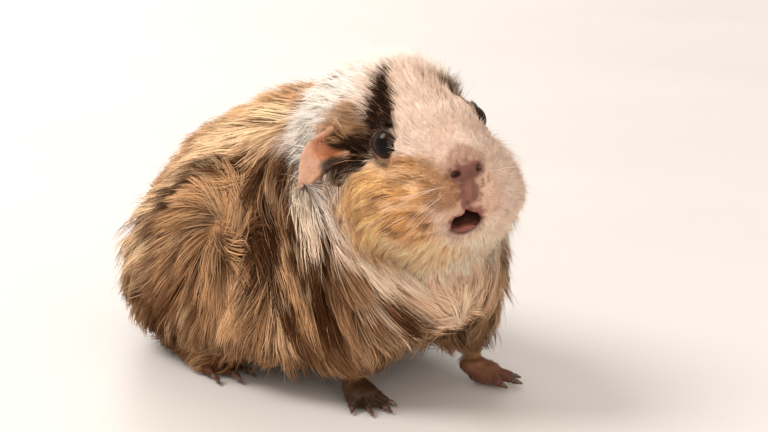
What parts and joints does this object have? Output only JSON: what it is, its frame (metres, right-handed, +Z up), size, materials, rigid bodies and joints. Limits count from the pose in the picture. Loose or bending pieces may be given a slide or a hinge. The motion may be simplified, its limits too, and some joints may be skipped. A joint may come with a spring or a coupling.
{
  "type": "guinea pig",
  "caption": "Rough-coated guinea pig sitting up on its forelegs with its head raised, made as a still, life-size display figure.",
  "frame": {"origin": "on the floor, under the middle of the bounding box", "axes": "+Z up; the body lies along Y and looks along -Y; +X is the animal's left"},
  "size_m": [0.1174, 0.202, 0.1256],
  "materials": {
    "coat_brown": "soft golden-brown hair with lighter tips, darker at the root",
    "coat_pale": "soft white to cream hair",
    "bare_skin": "matt pink skin",
    "eye": "wet, glossy and nearly black",
    "claw": "smooth dark horn"
  },
  "bodies": {
    "root": {"chest": "coat_pale", "ear_left": "bare_skin", "ear_right": "bare_skin", "eye_left": "eye", "eye_right": "eye", "forefoot_left": "bare_skin", "forefoot_left_claw_1": "claw", "forefoot_left_claw_2": "claw", "forefoot_left_claw_3": "claw", "forefoot_left_claw_4": "claw", "forefoot_right": "bare_skin", "forefoot_right_claw_1": "claw", "forefoot_right_claw_2": "claw", "forefoot_right_claw_3": "claw", "forefoot_right_claw_4": "claw", "foreleg_left": "coat_brown", "foreleg_right": "coat_brown", "head": "coat_pale", "hindfoot_left": "bare_skin", "hindfoot_left_claw_1": "claw", "hindfoot_left_claw_2": "claw", "hindfoot_left_claw_3": "claw", "hindfoot_right": "bare_skin", "hindfoot_right_claw_1": "claw", "hindfoot_right_claw_2": "claw", "hindfoot_right_claw_3": "claw", "lower_lip": "bare_skin", "neck": "coat_pale", "nose": "bare_skin", "rump": "coat_brown", "thigh_left": "coat_brown", "thigh_right": "coat_brown", "trunk": "coat_brown"}
  },
  "joints": []
}
